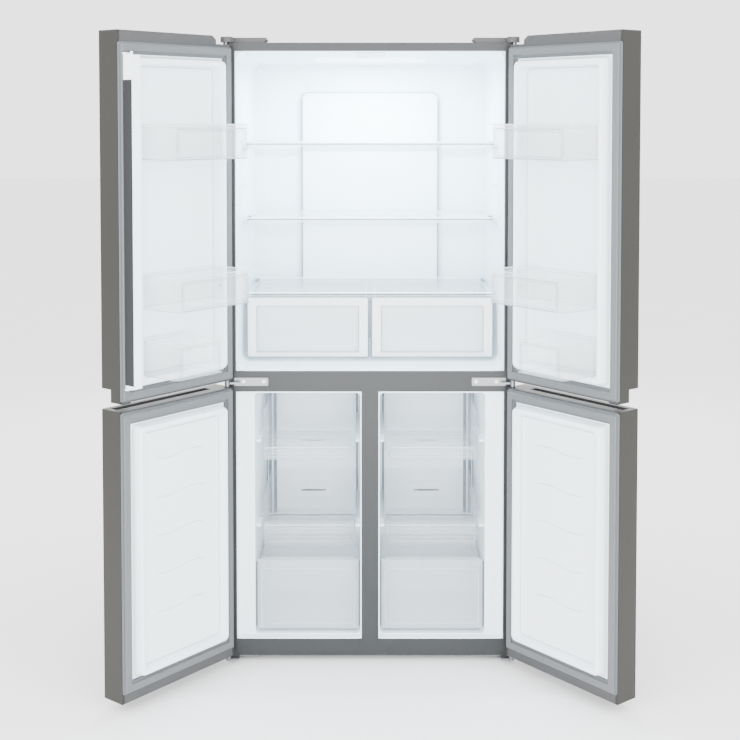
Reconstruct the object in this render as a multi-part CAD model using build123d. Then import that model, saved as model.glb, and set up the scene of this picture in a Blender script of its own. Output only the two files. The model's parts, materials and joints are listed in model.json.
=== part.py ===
"""Four-door refrigerator, doors modelled open: one STEP file for every node.

Millimetres, +Z up, the doors face -Y. Everything is laid out from the front plane of the
cabinet (y = 0, y grows into the cabinet) and moved by SHIFT_Y when it is written, so that
the middle of the whole object's footprint is the origin.
"""
import math
import os

from build123d import *

# ---------------------------------------------------------------- driving dimensions
# cabinet body
CAB_W = 833.0
CAB_D = 598.0
CAB_TOP = 1784.0
CAB_BASE = 17.0
SHEET = 1.0
LINER_T = 2.5
# face frame
FRAME_D = 18.0
STILE_W = 32.5
FILLET_Y = 1.0
TOP_BAR = 24.0
BOTTOM_BAR = 49.0
CENTRE_BAR = 49.0
BEAM_H = 60.0
BEAM_Z = 786.0
# fridge compartment
FRIDGE_DEPTH = 528.0
FRIDGE_DRAFT = 9.0
CEILING_DROP = 18.0
CORNER_R = 24.0
SHELF_FRONT = 146.0
SHELF_BACK_GAP = 26.0
SHELF_SIDE_GAP = 6.0
SHELF_LEVELS = (0.466, 0.710)
SHELF_GLASS_T = 4.0
SHELF_TRIM_H = 13.0
COVER_AT = 0.222
DUCT_W = 438.0
DUCT_TOP_AT = 0.868
DUCT_PROUD = 17.0
LENS_W = 331.0
LENS_D = 54.0
LENS_H = 9.0
LENS_Y = 236.0
GUIDE_W = 86.0
GUIDE_D = 34.0
# crispers
CRISPER_GAP = 6.0
CRISPER_WALL = 3.0
CRISPER_BACK = 505.0
CRISPER_STRIP = 26.0
# freezer compartments
WELL_DEPTH = 24.0
FREEZER_SIDE = 51.0
FREEZER_DEPTH = 495.0
HUMP_DEPTH = 372.0
HUMP_Z = 292.0
COIL_SPACE = 55.0
BASKET_FRONT = 60.0
BASKET_LEDGE = 17.0
BASKET_WALL = 3.0
BASKET_SIDE_H = 128.0
BASKET_FLOORS = (320.0, 571.0)
BASKET_LIPS = (58.0, 36.0)
DRAWER_FRONT = 40.0
DRAWER_TOP = 283.0
DRAWER_BACK = 352.0
SLOT_W = 79.0
SLOT_H = 5.0
SLOT_LEVELS = (376.0, 537.0)
# doors
OPEN_DEG = 129.0
DOOR_T = 72.0
DOOR_GAP = 12.0
SPLIT_GAP = 4.0
DOOR_STEP = 21.0
DOOR_RISE = 15.0
DOOR_BASE = 28.0
PIN_IN = 10.0
PIN_BACK = 13.0
PIN_R = 4.0
PIN_SLACK = 0.4
HEM = 8.0
TOP_CAP = 32.0
BASE_CAP = 27.0
EDGE_CAP = 6.0
GRIP_H = 34.0
GRIP_D = 36.0
GROOVE_W = 26.0
GROOVE_D = 24.0
NOTCH_L = 60.0
NOTCH_H = 25.0
PAD_L = 26.0
PAD_W = 30.0
PAD_H = 9.0
PAD_IN = 27.0
PAD_Y = -30.0
# gasket
SEAL_W = 28.0
SEAL_H = 11.0
SEAL_HINGE_IN = 8.0
SEAL_FREE_IN = 3.0
# door liner
DIKE_IN = 9.0
DIKE_OUT_HINGE = 4.0
DIKE_RISE = 26.0
DIKE_LEAN = 8.0
RIDGE_W = 14.0
RECESS_UPPER = 34.0
RECESS_LOWER = 16.0
# door bins
BIN_WALL = 2.8
BIN_RIM = 10.0
BIN_RIM_OUT = 2.0
BIN_CORNER = 16.0
BIN_SIDE_GAP = 5.0
BIN_H = (96.0, 90.0, 93.0)
BIN_AT = (0.0, 0.188, 0.607)
BIN_REACH = (136.0, 138.0, 128.0)
BIN_INSET = (3.0, 7.0, 1.0)
BIN_SHORT = (110.0, 0.0, 0.0)
# swinging centre bar on the upper left door
BAR_W = 32.0
BAR_T = 31.0
BAR_PIVOT_X = 14.0
BAR_PIVOT_Y = 3.5
BAR_STRIP_T = 1.0
BAR_CAP = 64.0
BAR_PIN_R = 2.0
# hinges, screws and their covers
PLATE_T = 3.0
PLATE_REACH = 112.5
COVER_REACH = 122.5
COVER_H = 14.5
COVER_WALL = 5.5
LEAF_REACH = 124.5
FOOT_PLATE_REACH = 86.5
TOP_SCREWS = (24.5, 64.5, 98.5)
LEAF_SCREWS = (54.5, 112.5)
SCREW_Y = 44.0
# machine bay
BAY_FRONT = 430.0
BAY_TOP = 235.0
FAN_R = 56.0
COMP_R = 62.0
COMP_H = 128.0
TUBE_R = 3.2
WHEEL_R = 20.0
WHEEL_W = 18.0
AXLE_Y = 530.0
WHEEL_IN = 60.0
FOOT_R = 15.0
FOOT_Y = 42.0
FOOT_IN = 38.0
FOOT_STEM_R = 5.0
FAN_X = -30.0
BAY_MID_Y = 512.0
COMP_X = -232.0

# ---------------------------------------------------------------- derived dimensions
HALF = CAB_W / 2
OPEN_HALF = HALF - STILE_W
FRIDGE_Z0 = BEAM_Z + BEAM_H
FRIDGE_Z1 = CAB_TOP - TOP_BAR
FRIDGE_H = FRIDGE_Z1 - FRIDGE_Z0
FREEZER_Z0 = CAB_BASE + BOTTOM_BAR
CAVITY_X0 = CENTRE_BAR / 2 + 4.0
CAVITY_X1 = OPEN_HALF - FREEZER_SIDE
PIN_X = HALF - PIN_IN
PIN_Y = -(DOOR_GAP + PIN_BACK)
DOOR_OUT = -(DOOR_GAP + DOOR_T)
DOOR_IN = -DOOR_GAP
SPLIT_Z = BEAM_Z + BEAM_H / 2 - 1.0
UPPER_Z0 = SPLIT_Z + DOOR_STEP / 2
UPPER_Z1 = CAB_TOP + DOOR_RISE
LOWER_Z1 = SPLIT_Z - DOOR_STEP / 2
DIKE_TOP = DOOR_IN + DIKE_RISE
BAR_Z0 = FRIDGE_Z0 + 22.0
BAR_Z1 = FRIDGE_Z1 - 27.0
COVER_Z = FRIDGE_Z0 + COVER_AT * FRIDGE_H
CRISPER_Z0 = FRIDGE_Z0 + FRIDGE_DRAFT + 5.0
CRISPER_Z1 = COVER_Z - 5.0
PANEL_BACK = FREEZER_DEPTH - COIL_SPACE
EVAP_FAN_Z = HUMP_Z + 220.0
CRISPER_X = OPEN_HALF - LINER_T - FRIDGE_DRAFT * CRISPER_BACK / FRIDGE_DEPTH - 9.0


def swung_y(x, y):
    """Where a point of the closed left door is, front to back, with the door open."""
    turn = math.radians(OPEN_DEG)
    return PIN_Y - (x + PIN_X) * math.sin(turn) + (y - PIN_Y) * math.cos(turn)


RECESS_FREE = SPLIT_GAP / 2 + SEAL_FREE_IN + SEAL_W + DIKE_IN + DIKE_LEAN + RIDGE_W - 3.0
BIN_FREE = RECESS_FREE + BIN_SIDE_GAP - BIN_RIM_OUT
BIN_TURN = abs(math.sin(math.radians(OPEN_DEG))) + abs(math.cos(math.radians(OPEN_DEG)))
BIN_ROUND = (BIN_CORNER + BIN_RIM_OUT) * (BIN_TURN - 1.0)
REACH = BIN_ROUND + min(swung_y(-BIN_FREE - inset, reach) for inset, reach in zip(BIN_INSET, BIN_REACH))
SHIFT_Y = -(REACH + CAB_D) / 2


# ---------------------------------------------------------------- shape helpers
def blk(x0, x1, y0, y1, z0, z1):
    return Pos((x0 + x1) / 2, (y0 + y1) / 2, (z0 + z1) / 2) * Box(x1 - x0, y1 - y0, z1 - z0)


def rod(r, start, end):
    """Round bar between two points that differ along one axis only."""
    a, b = Vector(*start), Vector(*end)
    mid, length = (a + b) * 0.5, (b - a).length
    return Plane(origin=mid, z_dir=(b - a).normalized()) * Cylinder(r, length)


def tube(points, r, bend):
    """Round bar along a polyline with rounded corners."""
    path = FilletPolyline(*points, radius=bend)
    start = Plane(origin=path @ 0, z_dir=path % 0)
    return sweep(start * Circle(r), path=path)


def face_xz(x0, x1, z0, z1, y, r):
    at = Plane(origin=(0, y, 0), x_dir=(1, 0, 0), z_dir=(0, -1, 0))
    shape = RectangleRounded(x1 - x0, z1 - z0, r) if r else Rectangle(x1 - x0, z1 - z0)
    return at * Pos((x0 + x1) / 2, (z0 + z1) / 2) * shape


def well(x0, x1, z0, z1, y0, y1, dx, dz0, dz1, r):
    """Drafted pocket from y0 to y1; the far end is narrower by dx, dz0 and dz1."""
    return loft([face_xz(x0, x1, z0, z1, y0, r),
                 face_xz(x0 + dx, x1 - dx, z0 + dz0, z1 - dz1, y1, r)])


def face_xy(x0, x1, y0, y1, z, r):
    return Pos((x0 + x1) / 2, (y0 + y1) / 2, z) * RectangleRounded(x1 - x0, y1 - y0, r)


def tub(x0, x1, y0, y1, z0, z1, wall, draft, r, rim=0.0, rim_h=0.0):
    """Open-topped box with drafted walls and, if asked, a thicker rim."""
    d, t = draft, wall
    outer = loft([face_xy(x0 + d, x1 - d, y0 + d, y1 - d, z0, r), face_xy(x0, x1, y0, y1, z1, r)])
    inner = loft([face_xy(x0 + d + t, x1 - d - t, y0 + d + t, y1 - d - t, z0 + t, r - t),
                  face_xy(x0 + t, x1 - t, y0 + t, y1 - t, z1, r - t)])
    body = outer - inner
    if rim:
        ring = extrude(face_xy(x0 - rim, x1 + rim, y0 - rim, y1 + rim, z1 - rim_h, r + rim), rim_h)
        body += ring - extrude(face_xy(x0 + t, x1 - t, y0 + t, y1 - t, z1 - rim_h, r - t), rim_h)
    return body


def both(shape):
    """The left-hand piece and its mirror image."""
    return [shape, mirror(shape, about=Plane.YZ)]


def swing(shape, side):
    """Turn a closed left or right door piece to its open place."""
    pin = Axis((side * PIN_X, PIN_Y, 0), (0, 0, 1))
    return shape.rotate(pin, side * OPEN_DEG)


NODES = {}


def put(name, *shapes):
    solids = []
    for shape in shapes:
        for one in (shape if isinstance(shape, list) else [shape]):
            solids += (Pos(0, SHIFT_Y, 0) * one).solids()
    NODES[name] = solids[0] if len(solids) == 1 else Compound(children=solids)


# ---------------------------------------------------------------- cabinet volumes
def fridge_well(off):
    o = off
    return well(-OPEN_HALF + LINER_T - o, OPEN_HALF - LINER_T + o,
                FRIDGE_Z0 + LINER_T - o, FRIDGE_Z1 - LINER_T + o,
                0, FRIDGE_DEPTH + o, FRIDGE_DRAFT, FRIDGE_DRAFT, CEILING_DROP, CORNER_R + o)


def freezer_well(off):
    """Left freezer column: a shallow front well, then the cavity and the compressor hump."""
    o = off
    x_out, x_in = -OPEN_HALF + LINER_T, -CENTRE_BAR / 2 - LINER_T
    z0, z1 = FREEZER_Z0 + LINER_T, BEAM_Z - LINER_T
    front = well(x_out - o, x_in + o, z0 - o, z1 + o, 0, WELL_DEPTH + o, 1.0, 1.0, 1.0, 8.0 + o)
    deep = well(-CAVITY_X1 - o, -CAVITY_X0 + o, z0 + 3.0 - o, z1 - 6.0 + o, WELL_DEPTH - 2.0,
                FREEZER_DEPTH + o, 2.0, 2.0, 4.0, 12.0 + o)
    hump = blk(-CAVITY_X1 - 20, -CAVITY_X0 + 20, HUMP_DEPTH + o, FREEZER_DEPTH + 20, 0, HUMP_Z - o)
    return front + (deep - hump)


# ---------------------------------------------------------------- cabinet pieces
def cabinet_shell():
    outer = blk(-HALF, HALF, 0, CAB_D - SHEET, CAB_BASE, CAB_TOP)
    inner = blk(-HALF + SHEET, HALF - SHEET, -1, CAB_D, CAB_BASE - 1, CAB_TOP - SHEET)
    return outer - inner


def front_frame():
    edge = HALF - SHEET
    stile = blk(-edge, -OPEN_HALF, 0, FRAME_D, CAB_BASE, CAB_TOP - SHEET)
    top = blk(-OPEN_HALF, OPEN_HALF, 0, FRAME_D, FRIDGE_Z1, CAB_TOP - SHEET)
    beam = blk(-OPEN_HALF, OPEN_HALF, 0, FRAME_D, BEAM_Z, FRIDGE_Z0)
    low = blk(-OPEN_HALF, OPEN_HALF, 0, FRAME_D, CAB_BASE, FREEZER_Z0)
    post = blk(-CENTRE_BAR / 2, CENTRE_BAR / 2, 0, FRAME_D, FREEZER_Z0, BEAM_Z)
    return both(stile) + [top, beam, low, post]


def fridge_liner():
    shell = fridge_well(LINER_T) - fridge_well(0)
    shell += blk(-OPEN_HALF, OPEN_HALF, FILLET_Y, FRAME_D, FRIDGE_Z0, FRIDGE_Z1) - fridge_well(0)
    wall = OPEN_HALF - LINER_T - 1.0
    ledge = blk(-wall - 2.0, -CRISPER_X - 2.0, SHELF_FRONT + 40, CRISPER_BACK,
                COVER_Z - 26.0, COVER_Z - 21.0)
    for piece in both(ledge):
        shell += piece & fridge_well(0.5)
    return shell


def freezer_liners():
    shell = freezer_well(LINER_T) - freezer_well(0)
    shell += (blk(-OPEN_HALF, -CENTRE_BAR / 2, FILLET_Y, FRAME_D, FREEZER_Z0, BEAM_Z)
              - freezer_well(0))
    for floor in BASKET_FLOORS:
        z = floor + 60.0
        out = blk(-CAVITY_X1 - 1.0, -CAVITY_X1 + 13.0, BASKET_FRONT + 10, PANEL_BACK - 12, z - 8, z - 1)
        inn = blk(-CAVITY_X0 - 13.0, -CAVITY_X0 + 1.0, BASKET_FRONT + 10, PANEL_BACK - 12, z - 8, z - 1)
        shell += (out + inn) & freezer_well(0.5)
    return both(shell)


def insulation():
    """Foam between the skins, poured round the liners, as abutting blocks."""
    edge = HALF - SHEET
    zt, zb = CAB_TOP - SHEET, CAB_BASE + 1.6
    back = CAB_D - SHEET
    foam = blk(-edge, edge, FRAME_D, back, zb, zt)
    foam -= fridge_well(LINER_T)
    for piece in both(freezer_well(LINER_T)):
        foam -= piece
    foam -= blk(-edge - 1, edge + 1, BAY_FRONT, back + 1, zb - 1, BAY_TOP)
    for side in (-1, 1):
        foam -= Pos(side * (HALF - FOOT_IN), FOOT_Y, zb) * Cylinder(8.0, 24.0)
    side_x = OPEN_HALF - FRIDGE_DRAFT - 2.0
    side_f = CAVITY_X1 + 0.5
    mid = BEAM_Z + BEAM_H / 2
    deep = FRIDGE_DEPTH + LINER_T
    post = CAVITY_X0 - LINER_T
    cuts = [
        blk(-edge, -side_x, 0, deep, mid, zt), blk(side_x, edge, 0, deep, mid, zt),
        blk(-side_x, side_x, 0, deep, FRIDGE_Z1 - CEILING_DROP, zt),
        blk(-side_x, side_x, 0, deep, mid, FRIDGE_Z0 + FRIDGE_DRAFT + LINER_T),
        blk(-edge, edge, deep, back, mid, zt),
        blk(-edge, -side_f, 0, BAY_FRONT, zb, mid), blk(side_f, edge, 0, BAY_FRONT, zb, mid),
        blk(-edge, -side_f, BAY_FRONT, back, BAY_TOP, mid),
        blk(side_f, edge, BAY_FRONT, back, BAY_TOP, mid),
        blk(-side_f, side_f, 0, FREEZER_DEPTH, BEAM_Z - 14.0, mid),
        blk(-post, post, 0, HUMP_DEPTH, FREEZER_Z0 + 8, BEAM_Z - 14.0),
        blk(-post, post, HUMP_DEPTH, FREEZER_DEPTH, HUMP_Z, BEAM_Z - 14.0),
        blk(-side_f, side_f, 0, HUMP_DEPTH, zb, FREEZER_Z0 + 8),
        blk(-side_f, side_f, HUMP_DEPTH, BAY_FRONT, zb, HUMP_Z),
        blk(-side_f, side_f, BAY_FRONT, FREEZER_DEPTH, BAY_TOP, HUMP_Z),
        blk(-side_f, side_f, FREEZER_DEPTH, back, BAY_TOP, mid),
    ]
    return [piece for cut in cuts for piece in (foam & cut).solids() if piece.volume > 500.0]


def rear_covers():
    edge = HALF - SHEET
    y0, y1 = CAB_D - SHEET, CAB_D
    sheet = blk(-HALF, HALF, y0, y1, BAY_TOP, CAB_TOP)
    cover = blk(-edge, edge, y0 - 0.8, y1, CAB_BASE + 4.0, BAY_TOP)
    for side in (-1, 1):
        for row in range(7):
            z = CAB_BASE + 50.0 + 19.0 * row
            cover -= blk(side * 215 - 120, side * 215 + 120, y0 - 5, y1 + 5, z, z + 8.0)
    return [sheet, cover]


def base_pan():
    edge = HALF - SHEET
    pan = blk(-edge, edge, FRAME_D, CAB_D - SHEET - 0.8, CAB_BASE, CAB_BASE + 1.6)
    tray = blk(-edge, edge, BAY_FRONT, BAY_FRONT + 1.6, CAB_BASE + 1.6, CAB_BASE + 14.0)
    pan += tray
    for side in (-1, 1):
        x = side * (HALF - WHEEL_IN)
        w = WHEEL_W / 2
        pan -= blk(x - w - 4, x + w + 4, AXLE_Y - 30, AXLE_Y + 30, CAB_BASE - 1, CAB_BASE + 3)
        for cheek in (-1, 1):
            cx = x + cheek * (w + 5.5)
            pan += blk(cx - 1.5, cx + 1.5, AXLE_Y - 18, AXLE_Y + 18, CAB_BASE, CAB_BASE + 22.0)
        pan -= rod(3.4, (x - w - 9, AXLE_Y, WHEEL_R), (x + w + 9, AXLE_Y, WHEEL_R))
        nut = Pos(side * (HALF - FOOT_IN), FOOT_Y, CAB_BASE + 1.6 - 6.0) * Cylinder(11.0, 12.0)
        pan += nut & blk(-HALF, HALF, 0, 100, CAB_BASE, CAB_BASE + 20)
        pan -= Pos(side * (HALF - FOOT_IN), FOOT_Y, CAB_BASE) * Cylinder(FOOT_STEM_R + 0.4, 40.0)
    return pan


def rear_rollers():
    x, reach = -(HALF - WHEEL_IN), WHEEL_W / 2 + 7.5
    wheel = rod(WHEEL_R, (x - WHEEL_W / 2, AXLE_Y, WHEEL_R), (x + WHEEL_W / 2, AXLE_Y, WHEEL_R))
    wheel = chamfer(wheel.edges(), 1.5)
    return both(wheel + rod(3.0, (x - reach, AXLE_Y, WHEEL_R), (x + reach, AXLE_Y, WHEEL_R)))


def front_foot(side):
    x = side * (HALF - FOOT_IN)
    pad = Pos(x, FOOT_Y, 5.0) * Cylinder(FOOT_R, 10.0)
    pad = chamfer(pad.edges(), 1.2)
    for k in range(12):
        a = math.radians(30 * k)
        pad -= Pos(x + FOOT_R * math.cos(a), FOOT_Y + FOOT_R * math.sin(a), 5) * Cylinder(1.2, 12)
    return pad + Pos(x, FOOT_Y, 16.0) * Cylinder(FOOT_STEM_R, 14.0)


def compressor():
    x, y, z = COMP_X, BAY_MID_Y, CAB_BASE + 12.0
    can = Pos(x, y, z + COMP_H / 2) * Cylinder(COMP_R, COMP_H)
    can = fillet(can.edges(), 24.0)
    can += Pos(x, y, z + COMP_H * 0.55) * Cylinder(COMP_R + 2.5, 6.0)
    plate = blk(x - 85, x + 85, y - 55, y + 55, z - 2.0, z + 3.0)
    plate = fillet(plate.edges().filter_by(Axis.Z), 14.0)
    body = can + plate
    for dx in (-72, 72):
        for dy in (-42, 42):
            body += Pos(x + dx, y + dy, CAB_BASE + 1.6 + 4.4) * Cylinder(9.0, 8.8)
    body += blk(x + COMP_R - 12, x + COMP_R + 18, y - 20, y + 20, z + 52, z + 92)
    body += tube([(x + 20, y + 10, z + COMP_H - 8), (x + 20, y + 10, z + COMP_H + 32),
                  (x + 118, y + 10, z + COMP_H + 32), (x + 118, y + 10, z + 40)], TUBE_R, 12.0)
    return body


def condenser_coil():
    """Serpentine tube with wire fins, standing on the base pan."""
    xs, pitch, rows = 60.0, 24.0, 7
    z0 = CAB_BASE + 1.6 + 12.0
    coil = None
    for y in (478.0, 522.0):
        pts = []
        for row in range(rows):
            z = z0 + pitch * row
            ends = [(xs, y, z), (xs + 150, y, z)]
            pts += ends if row % 2 == 0 else ends[::-1]
        run = tube(pts, TUBE_R, 9.0)
        coil = run if coil is None else coil + run
        for k in range(7):
            x = xs + 14 + 20.0 * k
            wire = rod(1.4, (x, y + TUBE_R + 0.6, CAB_BASE + 1.6), (x, y + TUBE_R + 0.6, z0 + 152))
            coil += wire
    top = z0 + pitch * (rows - 1)
    coil += tube([(xs + 150, 478, top), (xs + 176, 478, top), (xs + 176, 522, top),
                  (xs + 150, 522, top)], TUBE_R, 9.0)
    return coil


def fan_frame(x, y, z):
    plate = blk(x - 6, x + 6, y - FAN_R - 8, y + FAN_R + 8, CAB_BASE + 1.6, z + FAN_R + 8)
    plate -= rod(FAN_R, (x - 10, y, z), (x + 10, y, z))
    for a in (0, 60, 120):
        spoke = Rot(a, 0, 0) * Box(2.5, 2 * FAN_R + 6, 5.0)
        plate += Pos(x - 4.7, y, z) * spoke
    plate += rod(19.0, (x - 24, y, z), (x - 3, y, z))
    return plate


def fan_blade(x, y, z, radius, axis):
    """Hub with five pitched blades, turning about the named axis."""
    hub = Cylinder(radius * 0.27, 12.0)
    hub = fillet(hub.edges().group_by(Axis.Z)[-1], 2.5)
    for k in range(5):
        vane = Pos(radius * 0.55, 0, 0) * Rot(28, 0, 0) * Box(radius * 0.78, radius * 0.42, 1.8)
        hub += Rot(0, 0, 72 * k) * (vane & Cylinder(radius * 0.94, 40))
    turn = Rot(0, 90, 0) if axis == "x" else Rot(90, 0, 0)
    return Pos(x, y, z) * turn * hub


def evaporator():
    """Finned coil behind the left freezer back cover."""
    x0, x1 = -CAVITY_X1 + 30, -CAVITY_X0 - 30
    y0 = PANEL_BACK + 12.0
    z0 = HUMP_Z + 16.0
    coil = None
    for row in range(4):
        z = z0 + 14 + 34.0 * row
        for y in (y0 + 8, y0 + 26):
            pipe = rod(4.0, (x0, y, z), (x1, y, z))
            coil = pipe if coil is None else coil + pipe
    for k in range(13):
        x = x0 + 14 + (x1 - x0 - 28) * k / 12
        coil += blk(x - 0.5, x + 0.5, y0, y0 + 34, z0, z0 + 132)
    for x in (x0 + 4, x1 - 4):
        coil += blk(x - 1, x + 1, y0 - 4, FREEZER_DEPTH + 1.0, z0 - 2, z0 + 136) & freezer_well(0)
    return coil


# ---------------------------------------------------------------- fridge interior
def fridge_duct_cover():
    back = FRIDGE_DEPTH
    z0 = FRIDGE_Z0 + FRIDGE_DRAFT + 3.0
    z1 = FRIDGE_Z0 + DUCT_TOP_AT * FRIDGE_H
    w = DUCT_W / 2
    body = blk(-w, w, back - DUCT_PROUD, back, z0, z1 + 12)
    body = fillet(body.edges().filter_by(Axis.Y).group_by(Axis.Z)[-1], 22.0)
    body = chamfer(body.faces().sort_by(Axis.Y)[0].edges().group_by(Axis.Z)[-1], 3.0)
    body -= blk(-w + 3, w - 3, back - DUCT_PROUD + 3, back - 2, z0 + 3, z1 - 12)
    for level in SHELF_LEVELS + (COVER_AT + 0.10,):
        z = FRIDGE_Z0 + level * FRIDGE_H + 46.0
        for side in (-1, 1):
            a, b = sorted((side * (w - 4.0), side * (w + 1.0)))
            body -= blk(a, b, back - 12.0, back - 5.0, z, z + 44.0)
    return body


def shelf_y1():
    return FRIDGE_DEPTH - SHELF_BACK_GAP


def shelf_half(y):
    draft = FRIDGE_DRAFT * y / FRIDGE_DEPTH
    return OPEN_HALF - LINER_T - draft - SHELF_SIDE_GAP


def shelf_glasses():
    panes = []
    half = shelf_half(shelf_y1()) - 6.0
    for level in SHELF_LEVELS:
        z = FRIDGE_Z0 + level * FRIDGE_H
        panes.append(blk(-half, half, SHELF_FRONT + 9, shelf_y1() - 9, z - SHELF_GLASS_T, z))
    half = shelf_half(CRISPER_BACK) - 16.0
    panes.append(blk(-half, half, SHELF_FRONT + 16, CRISPER_BACK - 14,
                     COVER_Z - SHELF_GLASS_T, COVER_Z))
    return panes


def shelf_trims():
    """Shelf edge profiles and the pegs in the side walls that carry the shelves."""
    out = []
    half = shelf_half(shelf_y1())
    y0, y1 = SHELF_FRONT, shelf_y1()
    for level in SHELF_LEVELS:
        z = FRIDGE_Z0 + level * FRIDGE_H
        bar = blk(-half, half, y0, y1, z - SHELF_TRIM_H + 2.0, z + 2.0)
        bar -= blk(-half + 14, half - 14, y0 + 14, y1 - 14, z - 40, z + 40)
        bar -= blk(-half + 6, half - 6, y0 + 9, y1 - 9, z - SHELF_GLASS_T, z)
        bar -= blk(-half - 1, half + 1, y0 + 9, y1 + 1, z, z + 10)
        bar -= blk(-half + 3, half - 3, y0 + 3, y0 + 40, z - 20, z - SHELF_GLASS_T - 3)
        out.append(bar)
    for level in (SHELF_LEVELS[0], SHELF_LEVELS[1], sum(SHELF_LEVELS) / 2, COVER_AT + 0.075):
        z = FRIDGE_Z0 + level * FRIDGE_H - SHELF_TRIM_H + 2.0
        for y in (SHELF_FRONT + 34.0, shelf_y1() - 30.0):
            wall = shelf_half(y) + SHELF_SIDE_GAP
            peg = blk(-wall - 0.6, -wall + 15.0, y - 9, y + 9, z - 8.0, z)
            peg = chamfer(peg.edges().filter_by(Axis.Y).sort_by(Axis.Z)[0:2], 3.0)
            out += both(peg & fridge_well(0))
    return out


def crisper_cover_frame():
    half = shelf_half(CRISPER_BACK)
    y0, y1 = SHELF_FRONT, CRISPER_BACK
    frame = blk(-half, half, y0, y1, COVER_Z - 8.0, COVER_Z + 2.0)
    for side in (-1, 1):
        a, b = sorted((side * 8.0, side * (half - 20)))
        frame -= blk(a, b, y0 + 20, y1 - 18, COVER_Z - 20, COVER_Z + 20)
    frame -= blk(-half + 16, half - 16, y0 + 16, y1 - 14, COVER_Z - SHELF_GLASS_T, COVER_Z + 9)
    frame += blk(-1.5, 1.5, y0 + 22, y1 - 18, COVER_Z - 32.0, COVER_Z - 7.0)
    frame += blk(-5.0, 5.0, y0 + 40, y1, COVER_Z - 34.0, COVER_Z - 30.0)
    wall = shelf_half(y1) + SHELF_SIDE_GAP
    for side in (-1, 1):
        for y in (y0 + 60, y1 - 40):
            a, b = sorted((side * (half - 1), side * (shelf_half(y) + SHELF_SIDE_GAP + 0.4)))
            frame += blk(a, b, y - 12, y + 12, COVER_Z - 8, COVER_Z - 2) & fridge_well(0)
    return frame


def crisper(side):
    """Clear tub and its opaque front trim, built for the left bay and mirrored."""
    x1 = -CRISPER_GAP
    x0 = -CRISPER_X
    y0, y1, z0, z1 = SHELF_FRONT, CRISPER_BACK - 8, CRISPER_Z0, CRISPER_Z1 - 6.0
    body = tub(x0 + 6, x1 - 6, y0 + 4, y1, z0, z1, CRISPER_WALL, 4.0, 14.0)
    lip_z = COVER_Z - 20.0
    body += blk(x0 - 6.0, x0 + 8.5, y0 + 42, y1 - 20, lip_z, lip_z + 3.0)
    body += blk(x1 - 8.5, -2.5, y0 + 42, y1 - 20, COVER_Z - 29.0, COVER_Z - 26.0)
    trim = blk(x0, x1, y0 - 2, y0 + 5.5, z0, z1)
    trim = fillet(trim.edges().filter_by(Axis.Y), 5.0)
    trim -= blk(x0 + 27, x1 - 27, y0 - 5, y0 + 9, z0 + 14, z1 - CRISPER_STRIP)
    trim -= body
    if side > 0:
        body, trim = mirror(body, about=Plane.YZ), mirror(trim, about=Plane.YZ)
    return body, trim


# ---------------------------------------------------------------- freezer interior
def freezer_duct_covers():
    x0, x1 = -CAVITY_X1 + 4, -CAVITY_X0 - 4
    z0, z1 = HUMP_Z + 3.0, BEAM_Z - LINER_T - 14
    y = PANEL_BACK
    panel = blk(x0, x1, y, y + 3.0, z0, z1)
    mid = (x0 + x1) / 2
    for level in SLOT_LEVELS:
        pad = blk(mid - 62, mid + 62, y - 6, y + 1, level - 26, level + 26)
        pad = fillet(pad.edges().filter_by(Axis.Y), 8.0)
        panel += pad
        panel -= blk(mid - SLOT_W / 2, mid + SLOT_W / 2, y - 8, y + 5,
                     level - SLOT_H / 2, level + SLOT_H / 2)
    for a, b in ((x0, x0 + 3.0), (x1 - 3.0, x1)):
        panel += blk(a, b, y, FREEZER_DEPTH - 1.0, z0, z1)
    panel += blk(x0, x1, y, FREEZER_DEPTH - 1.0, z1 - 3.0, z1)
    panel &= freezer_well(-0.3)
    motor = rod(16.0, (mid, y, EVAP_FAN_Z), (mid, y + 21.0, EVAP_FAN_Z))
    return [panel + motor, mirror(panel, about=Plane.YZ)]


def freezer_basket(floor, lip, side):
    x0, x1 = -CAVITY_X1 + BASKET_LEDGE, -CAVITY_X0 - BASKET_LEDGE
    y0, y1 = BASKET_FRONT, PANEL_BACK - 14
    body = tub(x0, x1, y0, y1, floor, floor + BASKET_SIDE_H, BASKET_WALL, 5.0, 12.0)
    gap = BASKET_SIDE_H - lip
    cut = Polyline([(y0 - 5, floor + lip), (y0 + 10, floor + lip), (y0 + 46, floor + lip + 10),
                    (y0 + 60, floor + lip + 0.6 * gap), (y0 + 66, floor + BASKET_SIDE_H + 5),
                    (y0 - 5, floor + BASKET_SIDE_H + 5)], close=True)
    front = Plane.YZ * make_face(cut)
    body -= Pos(x0 - 50, 0, 0) * extrude(front, 2 * (CAVITY_X1 - CAVITY_X0))
    z = floor + 60.0
    for a, b in ((x0 - 13.0, x0 + 4.2), (x1 - 4.2, x1 + 13.0)):
        body += blk(a, b, y0 + 72, y1 - 14, z, z + 3.0)
    return mirror(body, about=Plane.YZ) if side > 0 else body


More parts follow.
